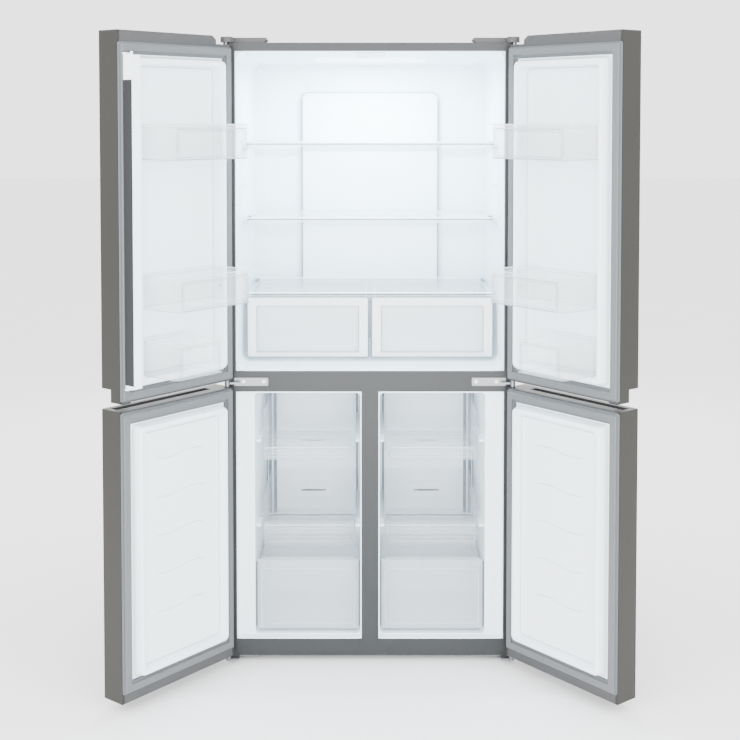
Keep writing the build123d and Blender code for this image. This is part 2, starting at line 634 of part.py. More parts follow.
def freezer_drawer(side):
    x0, x1 = -CAVITY_X1 + 3.0, -CAVITY_X0 - 3.0
    z0 = FREEZER_Z0 + LINER_T + 10.0
    body = tub(x0 + 5, x1 - 5, DRAWER_FRONT + 4, DRAWER_BACK, z0, DRAWER_TOP - 24, 3.0, 4.0, 16.0)
    front = blk(x0, x1, DRAWER_FRONT, DRAWER_FRONT + 8.5, z0, DRAWER_TOP)
    front = fillet(front.edges().filter_by(Axis.Y), 8.0)
    front -= blk(x0 + 11, x1 - 11, DRAWER_FRONT - 1, DRAWER_FRONT + 3.5, z0 + 14, DRAWER_TOP - 26)
    front += blk(x0 + 12, x1 - 12, DRAWER_FRONT, DRAWER_FRONT + 26, DRAWER_TOP - 3.5, DRAWER_TOP)
    front += blk(x0 + 5, x0 + 8, DRAWER_FRONT + 4, DRAWER_FRONT + 40, DRAWER_TOP - 60, DRAWER_TOP - 14)
    front += blk(x1 - 8, x1 - 5, DRAWER_FRONT + 4, DRAWER_FRONT + 40, DRAWER_TOP - 60, DRAWER_TOP - 14)
    body += front
    return mirror(body, about=Plane.YZ) if side > 0 else body


# ---------------------------------------------------------------- doors (closed, left hand)
X0 = -HALF
X1 = -SPLIT_GAP / 2


def skin(z0, z1, grip, notch):
    sheet = blk(X0, X1, DOOR_OUT, DOOR_IN, z0, z1)
    sheet -= blk(X0 + SHEET, X1 - SHEET, DOOR_OUT + SHEET, DOOR_IN - SHEET, z0 - 1, z1 + 1)
    sheet -= blk(X0 + HEM, X1 - HEM, DOOR_IN - 5, DOOR_IN + 1, z0 - 1, z1 + 1)
    if grip:
        sheet -= blk(X0 - 1, X1 + 1, DOOR_OUT - 1, DOOR_OUT + GRIP_D, z0 - 1, z0 + GRIP_H)
    if notch:
        sheet -= blk(X0 - 1, X0 + NOTCH_L, DOOR_OUT - 1, DOOR_IN + 1, z1 - NOTCH_H + 2, z1 + 1)
    return sheet


def block_in(z0, z1, y0=None, y1=None):
    y0 = DOOR_OUT + SHEET if y0 is None else y0
    y1 = DOOR_IN - SHEET if y1 is None else y1
    return blk(X0 + SHEET, X1 - SHEET, y0, y1, z0, z1)


def pin_boss(z0, z1):
    return blk(X0 + SHEET, X0 + 44.0, PIN_Y - 16.0, DOOR_IN - LINER_T - 0.5, z0, z1)


def pin_bore(z0, z1):
    return Pos(-PIN_X, PIN_Y, (z0 + z1) / 2) * Cylinder(PIN_R + PIN_SLACK, z1 - z0)


def face_lip(z0, z1):
    """Part of a cap that shows between the two hems on the inner face."""
    return blk(X0 + HEM, X1 - HEM, DOOR_IN - SHEET - 0.5, DOOR_IN, z0, z1)


def pads(z):
    x = X1 - PAD_IN
    pad = blk(x - PAD_L, x, PAD_Y - PAD_W, PAD_Y, z - PAD_H, z)
    return chamfer(pad.edges().group_by(Axis.Z)[0], 2.0)


def upper_caps():
    z0, z1 = UPPER_Z0, UPPER_Z1
    top = block_in(z1 - TOP_CAP, z1 - 2.0) + face_lip(z1 - TOP_CAP, z1 - 2.0)
    top += blk(X0, X1, DOOR_OUT, DOOR_IN, z1 - 2.0, z1)
    notch_z = z1 - NOTCH_H
    top -= blk(X0 - 1, X0 + NOTCH_L, DOOR_OUT - 1, DOOR_IN + 1, notch_z + 2.0, z1 + 1)
    ramp = Polyline([(X0 + NOTCH_L - 1, z1 + 1), (X0 + NOTCH_L - 1, z1 - 12),
                     (X0 + NOTCH_L + 16, z1 + 1)], close=True)
    ramp = Plane(origin=(0, DOOR_IN + 1, 0), x_dir=(1, 0, 0), z_dir=(0, -1, 0)) * make_face(ramp)
    top -= extrude(ramp, DOOR_T + 2)
    top += pin_boss(notch_z - 22.0, z1 - TOP_CAP + 1)
    low = block_in(z0, z0 + EDGE_CAP, DOOR_OUT + GRIP_D) + face_lip(z0, z0 + EDGE_CAP)
    low += block_in(z0, z0 + GRIP_H, DOOR_OUT + GRIP_D, DOOR_OUT + GRIP_D + 2.5)
    low += block_in(z0 + GRIP_H, z0 + GRIP_H + 2.5, DOOR_OUT + SHEET, DOOR_OUT + GRIP_D + 2.5)
    low += pin_boss(z0, z0 + 24.0)
    return [top, low]


def lower_caps():
    z0, z1 = DOOR_BASE, LOWER_Z1
    y_mid = (DOOR_OUT + DOOR_IN) / 2 - 6.0
    trough = block_in(z1 - GROOVE_D - 3.0, z1, y_mid - GROOVE_W / 2 - 2.5, y_mid + GROOVE_W / 2 + 2.5)
    top = block_in(z1 - EDGE_CAP, z1) + trough + face_lip(z1 - EDGE_CAP, z1)
    top += pin_boss(z1 - 24.0, z1)
    top -= blk(X0 + 60, X1 - 14, y_mid - GROOVE_W / 2, y_mid + GROOVE_W / 2, z1 - GROOVE_D, z1 + 1)
    low = block_in(z0, z0 + BASE_CAP) + face_lip(z0, z0 + BASE_CAP)
    return [top, low]


def liner_side(z0, z1, recess, off):
    """Everything on the foam side of the door liner, its surface set back by off."""
    o = off
    xa = X0 + SEAL_HINGE_IN + SEAL_W + DIKE_OUT_HINGE
    xb = X1 - SEAL_FREE_IN - SEAL_W - DIKE_IN + 3.0
    za, zb = z0 + SEAL_W + 5.0, z1 - SEAL_W - 5.0
    lean, ridge = DIKE_LEAN, DIKE_LEAN + RIDGE_W
    body = blk(X0 - 5, X1 + 5, DOOR_OUT - 5, DOOR_IN - o, z0 - 5, z1 + 5)
    body += loft([face_xz(xa + o, xb - o, za + o, zb - o, DOOR_IN - 4.0, 14.0),
                  face_xz(xa + lean + o, xb - lean - o, za + lean + o, zb - lean - o,
                          DIKE_TOP - o, 14.0)])
    body -= loft([face_xz(xa + ridge - o, xb - ridge + o, za + ridge - o, zb - ridge + o,
                          DIKE_TOP, 12.0),
                  face_xz(xa + ridge + 4 - o, xb - ridge - 4 + o, za + ridge + 4 - o,
                          zb - ridge - 4 + o, DIKE_TOP - recess - o, 12.0)])
    return body


def door(z0, z1, caps, cap_in, recess, grip, notch):
    """All fixed pieces of one closed left door: skin, caps, liner, foam and gasket."""
    pieces = {}
    inner0, inner1 = z0 + cap_in[0], z1 - cap_in[1]
    pieces["skin"] = [skin(z0, z1 - (2.0 if notch else 0.0), grip, notch)]
    room = blk(X0 + HEM, X1 - HEM, DOOR_OUT, DIKE_TOP + 1, inner0, inner1)
    face = liner_side(inner0, inner1, recess, 0)
    core = liner_side(inner0, inner1, recess, LINER_T)
    pieces["liner"] = [(face - core) & room]
    fill = blk(X0 + SHEET, X1 - SHEET, DOOR_OUT + SHEET, DIKE_TOP, z0, z1) & core
    if grip:
        fill -= blk(X0, X1, DOOR_OUT, DOOR_OUT + GRIP_D + 2.5, z0 - 1, z0 + GRIP_H + 2.5)
    else:
        y_mid = (DOOR_OUT + DOOR_IN) / 2 - 6.0
        fill -= block_in(z1 - GROOVE_D - 3, z1 + 1, y_mid - GROOVE_W / 2 - 2.5,
                         y_mid + GROOVE_W / 2 + 2.5)
    if notch:
        fill -= blk(X0, X0 + NOTCH_L + 20, DOOR_OUT, DIKE_TOP + 1, z1 - NOTCH_H - 7, z1 + 1)
    for cap in caps:
        fill -= cap
    pieces["foam"] = [max(fill.solids(), key=lambda s: s.volume)]
    bores = [pin_bore(z1 - NOTCH_H - 16.0, z1 + 1) if notch else pin_bore(z1 - 16.0, z1 + 1),
             pin_bore(z0 - 1, z0 + 16.0)]
    pieces["end_caps"] = []
    for cap in caps:
        for bore in bores:
            cap -= bore
        pieces["end_caps"].append(cap)
    pieces["end_caps"].append(pads(z0))
    g0, g1 = inner0, inner1
    a0, a1 = X0 + SEAL_HINGE_IN, X1 - SEAL_FREE_IN
    w = SEAL_W
    foot = blk(a0, a1, DOOR_IN, DOOR_IN + 5.0, g0, g1)
    foot -= blk(a0 + w, a1 - w, DOOR_IN - 1, DOOR_IN + 6, g0 + w, g1 - w)
    bulb = blk(a0 + 3, a1 - 3, DOOR_IN + 5, DOOR_IN + SEAL_H, g0 + 3, g1 - 3)
    bulb = chamfer(bulb.faces().sort_by(Axis.Y)[-1].edges(), 2.5)
    bulb -= blk(a0 + w - 6, a1 - w + 6, DOOR_IN, DOOR_IN + 20, g0 + w - 6, g1 - w + 6)
    pieces["gasket"] = [foot + bulb]
    return pieces


def bins(z0, z1):
    out = []
    xa = X0 + SEAL_HINGE_IN + SEAL_W + DIKE_OUT_HINGE + DIKE_LEAN + RIDGE_W
    xb = X1 - SEAL_FREE_IN - SEAL_W - DIKE_IN + 3.0 - DIKE_LEAN - RIDGE_W
    back = DIKE_TOP - RECESS_UPPER
    height = z1 - z0
    for at, high, reach, inset, short in zip(BIN_AT, BIN_H, BIN_REACH, BIN_INSET, BIN_SHORT):
        low = z0 + SEAL_W + 5.0 + DIKE_LEAN + RIDGE_W + 6.0 + at * height
        a, b = xa + BIN_SIDE_GAP + inset + short, xb - BIN_SIDE_GAP - inset
        body = tub(a, b, back + BIN_RIM_OUT + 0.3, reach - BIN_RIM_OUT, low, low + high, BIN_WALL, 4.0,
                   BIN_CORNER, BIN_RIM_OUT, BIN_RIM)
        for z in (low + high * 0.35, low + high * 0.75):
            body += blk(b - 4.5, xb - 1.6, 2.0, 10.0, z, z + 8.0)
            if not short:
                body += blk(xa + 1.6, a + 4.5, 2.0, 10.0, z, z + 8.0)
        out.append(body)
    return out


def swing_bar():
    """Centre bar of the upper left door, in its bridging place, and its metal face."""
    w, t = BAR_W / 2, BAR_T
    body = blk(-w, w, BAR_STRIP_T, t, BAR_Z0, BAR_Z1)
    body = fillet(body.edges().filter_by(Axis.Z).group_by(Axis.Y)[-1], 4.0)
    body += blk(-w, w, 0, BAR_STRIP_T, BAR_Z1 - BAR_CAP, BAR_Z1)
    body += blk(-w, w, 0, BAR_STRIP_T, BAR_Z0, BAR_Z0 + 8.0)
    body += Pos(-6, 20, BAR_Z1 + 4.5) * Cylinder(3.5, 11.0)
    for z in (BAR_Z0, BAR_Z1):
        s = 1 if z == BAR_Z1 else -1
        body += Pos(-BAR_PIVOT_X, BAR_PIVOT_Y, z + s * 2.0) * Cylinder(BAR_PIN_R, 6.0)
    face = blk(-w, w, 0, BAR_STRIP_T, BAR_Z0 + 8.0, BAR_Z1 - BAR_CAP)
    return body, face


def bar_brackets():
    """Ears on the door liner that hold the swinging bar's pins."""
    out = []
    post = X1 - SEAL_FREE_IN - SEAL_W - 1.2
    for z, s in ((BAR_Z0, -1), (BAR_Z1, 1)):
        a, b = sorted((z + s * 1.0, z + s * 6.0))
        ear = blk(post - 4.6, -BAR_PIVOT_X + 4.5, 0.2, 8.0, a, b)
        ear += blk(post - 4.6, post, DOOR_IN - 1.5, 8.0, a, b)
        ear -= Pos(-BAR_PIVOT_X, BAR_PIVOT_Y, z) * Cylinder(BAR_PIN_R + 0.3, 30.0)
        out.append(ear)
    return out


# ---------------------------------------------------------------- hinges
def hinges():
    out = []
    z = CAB_TOP
    plate = blk(-HALF + 8, -HALF + PLATE_REACH, 12.0, 62.0, z, z + PLATE_T)
    plate = fillet(plate.edges().filter_by(Axis.Z), 6.0)
    plate += blk(-PIN_X - 9, -PIN_X + 14, PIN_Y, 14.0, z, z + PLATE_T)
    plate += Pos(-PIN_X, PIN_Y, z + PLATE_T / 2) * Cylinder(9.0, PLATE_T)
    plate += Pos(-PIN_X, PIN_Y, z - NOTCH_H / 2 + PLATE_T) * Cylinder(PIN_R, NOTCH_H)
    out += both(plate)
    zm = SPLIT_Z
    leaf = blk(-OPEN_HALF - 5, -HALF + LEAF_REACH, -PLATE_T, 0.0, zm - 11.5, zm + 11.5)
    leaf = fillet(leaf.edges().filter_by(Axis.Y), 3.0)
    arm = blk(-PIN_X - 8, -PIN_X + 32, PIN_Y, -2.0, zm - 2.5, zm + 2.5)
    arm += Pos(-PIN_X, PIN_Y, zm) * Cylinder(8.0, 5.0)
    arm += Pos(-PIN_X, PIN_Y, zm) * Cylinder(PIN_R, DOOR_STEP + 26.0)
    arm += Pos(-PIN_X, PIN_Y, zm) * Cylinder(6.5, DOOR_STEP - 3.0)
    out += both(leaf + arm)
    zb = CAB_BASE - PLATE_T
    foot = blk(-HALF + 4, -HALF + FOOT_PLATE_REACH, 2.0, 76.0, zb, CAB_BASE)
    foot -= Pos(-HALF + FOOT_IN, FOOT_Y, CAB_BASE) * Cylinder(FOOT_STEM_R + 1.0, 20.0)
    foot += blk(-PIN_X - 8, -PIN_X + 30, PIN_Y, 3.0, zb, CAB_BASE)
    foot += Pos(-PIN_X, PIN_Y, zb + PLATE_T / 2) * Cylinder(8.0, PLATE_T)
    foot += Pos(-PIN_X, PIN_Y, CAB_BASE + 11.0) * Cylinder(PIN_R, 28.0)
    foot += Pos(-PIN_X, PIN_Y, CAB_BASE + 4.5) * Cylinder(6.5, 10.0)
    out += both(foot)
    return out


def top_hinge_covers():
    """Rounded boss over the pin and a lower flat part over the plate."""
    z = CAB_TOP
    hollow = COVER_H - COVER_WALL
    cover = blk(-HALF + 4, -HALF + COVER_REACH, 6.0, 84.0, z, z + COVER_H)
    cover = chamfer(cover.edges().filter_by(Axis.Y).sort_by(Axis.X)[-1], 9.0)
    cover = fillet(cover.edges().filter_by(Axis.Z).group_by(Axis.Y)[-1], 8.0)
    boss = blk(-PIN_X - 15, -PIN_X + 21, PIN_Y, 8.0, z, z + COVER_H)
    boss += Pos(-PIN_X + 3, PIN_Y - 1, z + COVER_H / 2) * Cylinder(18.0, COVER_H)
    cover += boss
    cover = chamfer(cover.faces().sort_by(Axis.Z)[-1].edges(), 1.5)
    cover -= blk(-HALF + 6.5, -HALF + PLATE_REACH + 2.0, 10.0, 66.0, z - 1, z + hollow)
    cover -= blk(-PIN_X - 11, -PIN_X + 18, PIN_Y + 1, 16.0, z - 1, z + hollow)
    cover -= Pos(-PIN_X + 2, PIN_Y, z + 4.0) * Cylinder(13.0, 10.0)
    return both(cover)


def hinge_screws():
    out = []
    for reach in TOP_SCREWS:
        x, z = -HALF + reach, CAB_TOP + PLATE_T
        head = Pos(x, SCREW_Y, z + 1.6) * Cylinder(6.0, 3.2)
        head -= Pos(x, SCREW_Y, z + 3.2) * Box(7.0, 1.4, 2.4)
        out += both(head)
    for reach in LEAF_SCREWS:
        x, z = -HALF + reach, SPLIT_Z + 1
        head = rod(5.0, (x, -PLATE_T - 2.6, z), (x, -PLATE_T, z))
        head -= Pos(x, -PLATE_T - 2.6, z) * Box(6.0, 2.4, 1.3)
        head -= Pos(x, -PLATE_T - 2.6, z) * Box(1.3, 2.4, 6.0)
        out += both(head)
    return out


# ---------------------------------------------------------------- assembly
put("cabinet_shell", cabinet_shell())
put("front_frame", front_frame())
put("fridge_liner", fridge_liner())
put("freezer_liners", freezer_liners())
put("insulation_foam", insulation())
put("rear_covers", rear_covers())
put("base_pan", base_pan())
put("compressor", compressor())
put("condenser_coil", condenser_coil())

FAN_Z = CAB_BASE + 82.0
put("condenser_fan_frame", fan_frame(FAN_X, BAY_MID_Y, FAN_Z))
put("condenser_fan_blade", fan_blade(FAN_X + 3.5, BAY_MID_Y, FAN_Z, FAN_R, "x"))
put("evaporator", evaporator())
EVAP_FAN_X = -(CAVITY_X0 + CAVITY_X1) / 2
put("evaporator_fan_blade",
    fan_blade(EVAP_FAN_X, PANEL_BACK + 28.0, EVAP_FAN_Z, 50.0, "y"))
put("fridge_duct_cover", fridge_duct_cover())
put("freezer_duct_covers", freezer_duct_covers())

lens_drop = FRIDGE_Z1 - LINER_T - CEILING_DROP * (LENS_Y + LENS_D / 2) / FRIDGE_DEPTH
lens = blk(-LENS_W / 2, LENS_W / 2, LENS_Y - LENS_D / 2, LENS_Y + LENS_D / 2,
           lens_drop - LENS_H, lens_drop + 2.0)
lens = fillet(lens.edges().filter_by(Axis.Z), 12.0)
put("fridge_lamp_lens", lens & fridge_well(0))
guide = blk(-GUIDE_W / 2, GUIDE_W / 2, 1.0, 1.0 + GUIDE_D, BAR_Z1 + 8.0, FRIDGE_Z1)
guide = chamfer(guide.edges().filter_by(Axis.Y).group_by(Axis.Z)[0], 6.0)
guide -= blk(-14.0, 4.0, -5.0, 28.0, BAR_Z1, BAR_Z1 + 14.0)
put("mullion_guide", guide & fridge_well(0))

put("shelf_glasses", shelf_glasses())
put("shelf_trims", shelf_trims())
put("crisper_cover_frame", crisper_cover_frame())
for word, side in (("left", -1), ("right", 1)):
    tub_body, trim_body = crisper(side)
    put("crisper_%s" % word, tub_body)
    put("crisper_%s_front" % word, trim_body)
    for level, (floor, lip) in zip(("middle", "upper"), zip(BASKET_FLOORS, BASKET_LIPS)):
        put("freezer_%s_%s_basket" % (word, level), freezer_basket(floor, lip, side))
    put("freezer_%s_lower_drawer" % word, freezer_drawer(side))
    put("front_foot_%s" % word, front_foot(side))

put("hinges", hinges())
put("top_hinge_covers", top_hinge_covers())
put("hinge_screws", hinge_screws())
put("rear_rollers", rear_rollers())

upper = door(UPPER_Z0, UPPER_Z1, upper_caps(), (EDGE_CAP, TOP_CAP), RECESS_UPPER, True, True)
lower = door(DOOR_BASE, LOWER_Z1, lower_caps(), (BASE_CAP, EDGE_CAP), RECESS_LOWER, False, False)
door_bins = bins(UPPER_Z0 + EDGE_CAP, UPPER_Z1 - TOP_CAP)
for word, side in (("left", -1), ("right", 1)):
    for level, parts in (("upper", upper), ("lower", lower)):
        for kind, shapes in parts.items():
            if kind == "liner" and level == "upper" and side < 0:
                shapes = [shapes[0] + bar_brackets()]
            turned = [s if side < 0 else mirror(s, about=Plane.YZ) for s in shapes]
            put("%s_%s_door_%s" % (level, word, kind), [swing(s, side) for s in turned])
    turned = [s if side < 0 else mirror(s, about=Plane.YZ) for s in door_bins]
    put("upper_%s_door_bins" % word, [swing(s, side) for s in turned])

bar_body, bar_face = swing_bar()
fold = Axis((-BAR_PIVOT_X, BAR_PIVOT_Y, 0), (0, 0, 1))
put("mullion_bar", swing(bar_body.rotate(fold, 90), -1))
put("mullion_face", swing(bar_face.rotate(fold, 90), -1))

os.makedirs("parts", exist_ok=True)
for name, shape in NODES.items():
    export_step(shape, "parts/%s.step" % name)
print(len(NODES), "nodes, shift", round(SHIFT_Y, 3))
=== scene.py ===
"""Looks of the four-door refrigerator: materials, moulded details, light and camera."""
import json
import math

import bmesh
import bpy
from mathutils import Matrix, Vector


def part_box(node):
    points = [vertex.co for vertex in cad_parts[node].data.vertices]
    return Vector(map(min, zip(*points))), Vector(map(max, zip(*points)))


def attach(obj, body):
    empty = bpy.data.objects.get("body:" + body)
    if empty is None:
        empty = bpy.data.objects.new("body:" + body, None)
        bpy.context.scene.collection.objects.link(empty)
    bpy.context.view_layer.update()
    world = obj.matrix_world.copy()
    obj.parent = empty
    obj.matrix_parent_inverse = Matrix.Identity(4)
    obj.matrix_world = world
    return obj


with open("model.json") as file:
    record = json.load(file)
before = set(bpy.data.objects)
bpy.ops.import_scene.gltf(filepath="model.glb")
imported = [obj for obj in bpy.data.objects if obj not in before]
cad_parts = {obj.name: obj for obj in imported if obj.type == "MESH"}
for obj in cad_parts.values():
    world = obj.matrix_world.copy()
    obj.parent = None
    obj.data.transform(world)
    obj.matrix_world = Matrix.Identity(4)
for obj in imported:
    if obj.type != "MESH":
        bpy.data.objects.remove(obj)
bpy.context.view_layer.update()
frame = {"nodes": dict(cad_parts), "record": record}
nodes = frame["nodes"]

# ---------------------------------------------------------------- sizes, mm
HALF = 416.5
PIN_X = 406.5
PIN_Y = -25.0
OPEN_DEG = 129.0
SEAL_FACE = -1.8
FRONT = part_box("front_frame")[0].y
UPPER = (831.5, 1767.0)
LOWER = (55.0, 798.5)
# floor height, depth of the tub, hinge end, free end, front face
BINS = ((892.5, 96.0, -236.5, -69.0, 134.0),
        (1068.4, 90.0, -342.5, -73.0, 136.0),
        (1460.3, 93.0, -348.5, -67.0, 126.0))
BASKETS = (("middle", 320.0, 58.0), ("upper", 571.0, 36.0))
BASKET_X = (-316.0, -45.5)
BASKET_Y = (60.0, 426.0)
SIDES = (("left", -1), ("right", 1))
SHELF_X = 366.0
SHELF_FRONT = 146.0
COVER_TOP = 1050.9
COVER_BACK = 504.0
SHELF_TOPS = (1496.9, 1273.9, COVER_TOP)
SEAL_OUTER, SEAL_INNER = -HALF + 8.0, -5.0
PANEL_X = (-341.0, -74.0)
PANEL_Y = -19.8
PANEL_CORNER = 18.0
WAVE_X = (-288, -114)
WAVE_Y = -2.0
WAVE_LOW, WAVE_STEP, WAVE_HEIGHT = 246.0, 104.0, 4.5
WAVE_START, WAVE_LENGTH = -290.0, 175.0
BIN_BACK = -19.7
BIN_CORNER = 16.0
CAP_TOP = 1798.8
CAP_SCREW_Y = -42.0
CAP_SCREW_X = (-300.0, -70.0)
DUCT_X = 219.0
DUCT_FRONT = 511.0
CRISPER_FRONT_X, CRISPER_FRONT_Z = (-364.4, -5.4), (859.6, 1038.4)
WINDOW_X, WINDOW_Z = (-336.9, -33.0), (874.0, 1011.9)
CLIP_L = 62.0
LENS_RIBS, LENS_RIB_PITCH = 13, 25.0
COLUMN_X = -180.75
SLOT_LEVELS = (376.0, 537.0)
DRAWER_X, DRAWER_Z = (-317.0, -44.5), (94.5, 255.0)
DRAWER_GAP_X = (-330.4, -31.1)
REAR_Y = 598.0
CAMERA_BACK, CAMERA_UP, CAMERA_TILT = 3.728, 1.574, 87.5


# ---------------------------------------------------------------- places
def fixed(side=-1):
    """Cabinet millimetres to the row frame, mirrored for the right-hand side."""
    mirrored = Matrix.Diagonal((-side * 0.001, 0.001, 0.001, 1.0))
    return Matrix.Translation((0, FRONT, 0)) @ mirrored


def on_door(side):
    """Millimetres of the closed left door to the row frame with the door open."""
    pin = Vector((-PIN_X, PIN_Y, 0))
    turn = Matrix.Rotation(math.radians(-OPEN_DEG), 4, "Z")
    return fixed(side) @ Matrix.Translation(pin) @ turn @ Matrix.Translation(-pin)


# ---------------------------------------------------------------- mesh helpers
def box_in(bm, x, y, z, bevel=0.6):
    """Box with rounded edges, from pairs of limits."""
    size = Vector((x[1] - x[0], y[1] - y[0], z[1] - z[0]))
    mid = Vector(((x[0] + x[1]) / 2, (y[0] + y[1]) / 2, (z[0] + z[1]) / 2))
    place = Matrix.Translation(mid) @ Matrix.Diagonal((*size, 1))
    made = bmesh.ops.create_cube(bm, size=1, matrix=place)
    edges = list({e for v in made["verts"] for e in v.link_edges})
    bmesh.ops.bevel(bm, geom=edges, offset=min(bevel, min(size) * 0.4), offset_type="OFFSET",
                    segments=2, profile=0.5, affect="EDGES", material=-1)


def tube_in(bm, path, radius, normal, closed=False, sides=8):
    """Round bead along a flat path whose plane has that normal."""
    pts, n, up = [Vector(p) for p in path], len(path), Vector(normal)
    rings = []
    for i, p in enumerate(pts):
        before = pts[i - 1] if closed or i else p
        after = pts[(i + 1) % n] if closed or i < n - 1 else p
        along = (after - before).normalized()
        turn = Matrix((along.cross(up).normalized(), up, along)).transposed().to_4x4()
        made = bmesh.ops.create_circle(bm, cap_ends=not closed and i in (0, n - 1), radius=radius,
                                       segments=sides, matrix=Matrix.Translation(p) @ turn)
        rings.append(list({e for v in made["verts"] for e in v.link_edges}))
    for a, b in zip(rings, rings[1:] + (rings[:1] if closed else [])):
        bmesh.ops.bridge_loops(bm, edges=a + b)


def loop_xz(x, z, y, r, steps=6):
    """Rounded rectangle standing in the X-Z plane."""
    pts = []
    corners = ((x[1] - r, z[1] - r, 0), (x[0] + r, z[1] - r, 90),
               (x[0] + r, z[0] + r, 180), (x[1] - r, z[0] + r, 270))
    for cx, cz, start in corners:
        for k in range(steps + 1):
            a = math.radians(start + 90 * k / steps)
            pts.append((cx + r * math.cos(a), y, cz + r * math.sin(a)))
    return pts


def loop_xy(x, y, z, r):
    return [(p[0], p[2], z) for p in loop_xz(x, y, 0, r)]


def screw_in(bm, x, y, z, radius, facing):
    """Domed screw head with a round recess; facing is the way the head points."""
    profile = [(0.0, 0.55), (0.18, 0.55), (0.26, 0.30), (0.34, 0.56), (0.7, 0.5), (0.95, 0.3),
               (1.0, 0.0)]
    verts = [bm.verts.new((r * radius, 0, h * radius)) for r, h in profile]
    edges = [bm.edges.new((a, b)) for a, b in zip(verts, verts[1:])]
    bmesh.ops.spin(bm, geom=verts + edges, cent=(0, 0, 0), axis=(0, 0, 1), dvec=(0, 0, 0),
                   angle=2 * math.pi, steps=20, use_merge=True, use_duplicate=False)
    made = [v for v in bm.verts if not v.tag]
    turn = Vector((0, 0, 1)).rotation_difference(Vector(facing)).to_matrix().to_4x4()
    bmesh.ops.transform(bm, matrix=Matrix.Translation((x, y, z)) @ turn, verts=made)
    for v in made:
        v.tag = True


def piece(name, body, material, fill, place):
    """New object from what fill draws in millimetres, put in place and tied to its body."""
    bm = bmesh.new()
    fill(bm)
    bmesh.ops.remove_doubles(bm, verts=bm.verts, dist=0.001)
    bmesh.ops.transform(bm, matrix=place, verts=bm.verts)
    bmesh.ops.recalc_face_normals(bm, faces=bm.faces)
    mesh = bpy.data.meshes.new(name)
    bm.to_mesh(mesh)
    bm.free()
    mesh.polygons.foreach_set("use_smooth", [True] * len(mesh.polygons))
    mesh.set_sharp_from_angle(angle=math.radians(38))
    mesh.materials.append(material)
    obj = bpy.data.objects.new(name, mesh)
    bpy.context.scene.collection.objects.link(obj)
    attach(obj, body)
    return obj


# ---------------------------------------------------------------- shared shader groups
def new_group(name, inputs, outputs):
    group = bpy.data.node_groups.new(name, "ShaderNodeTree")
    for label, kind, value in inputs:
        socket = group.interface.new_socket(label, in_out="INPUT", socket_type=kind)
        socket.default_value = value
    for label, kind in outputs:
        group.interface.new_socket(label, in_out="OUTPUT", socket_type=kind)
    return group, group.nodes.new("NodeGroupInput"), group.nodes.new("NodeGroupOutput")


def math_node(tree, op, a=None, b=None):
    node = tree.nodes.new("ShaderNodeMath")
    node.operation = op
    for socket, value in zip(node.inputs, (a, b)):
        if isinstance(value, (int, float)):
            socket.default_value = value
        elif value is not None:
            tree.links.new(value, socket)
    return node.outputs[0]


def surface_group():
    """Colour drift, roughness drift and fine relief for one moulded or painted surface."""
    group, gin, gout = new_group(
        "surface_break",
        [("Colour", "NodeSocketColor", (0.8, 0.8, 0.8, 1)), ("Drift", "NodeSocketFloat", 0.05),
         ("Drift Scale", "NodeSocketFloat", 4.0), ("Grain", "NodeSocketVector", (900, 900, 900)),
         ("Grain Tone", "NodeSocketFloat", 0.03), ("Relief", "NodeSocketFloat", 0.1),
         ("Roughness", "NodeSocketFloat", 0.4), ("Roughness Drift", "NodeSocketFloat", 0.1)],
        [("Colour", "NodeSocketColor"), ("Roughness", "NodeSocketFloat"), ("Normal", "NodeSocketVector")])
    new, link = group.nodes.new, group.links.new
    place = new("ShaderNodeTexCoord")
    broad = new("ShaderNodeTexNoise")
    broad.inputs["Detail"].default_value = 3.0
    link(place.outputs["Object"], broad.inputs["Vector"])
    link(gin.outputs["Drift Scale"], broad.inputs["Scale"])
    stretch = new("ShaderNodeVectorMath")
    stretch.operation = "MULTIPLY"
    link(place.outputs["Object"], stretch.inputs[0])
    link(gin.outputs["Grain"], stretch.inputs[1])
    fine = new("ShaderNodeTexNoise")
    fine.inputs["Scale"].default_value = 1.0
    fine.inputs["Detail"].default_value = 2.0
    link(stretch.outputs[0], fine.inputs["Vector"])
    low = math_node(group, "SUBTRACT", broad.outputs["Fac"], 0.5)
    high = math_node(group, "SUBTRACT", fine.outputs["Fac"], 0.5)
    tone = math_node(group, "ADD", math_node(group, "MULTIPLY", low, gin.outputs["Drift"]),
                     math_node(group, "MULTIPLY", high, gin.outputs["Grain Tone"]))
    gain = math_node(group, "ADD", tone, 1.0)
    shade = new("ShaderNodeVectorMath")
    shade.operation = "SCALE"
    link(gin.outputs["Colour"], shade.inputs[0])
    link(gain, shade.inputs["Scale"])
    link(shade.outputs[0], gout.inputs["Colour"])
    rough = math_node(group, "ADD", gin.outputs["Roughness"],
                      math_node(group, "MULTIPLY", low, gin.outputs["Roughness Drift"]))
    link(rough, gout.inputs["Roughness"])
    bump = new("ShaderNodeBump")
    bump.inputs["Distance"].default_value = 0.0004
    link(gin.outputs["Relief"], bump.inputs["Strength"])
    link(fine.outputs["Fac"], bump.inputs["Height"])
    link(bump.outputs["Normal"], gout.inputs["Normal"])
    return group


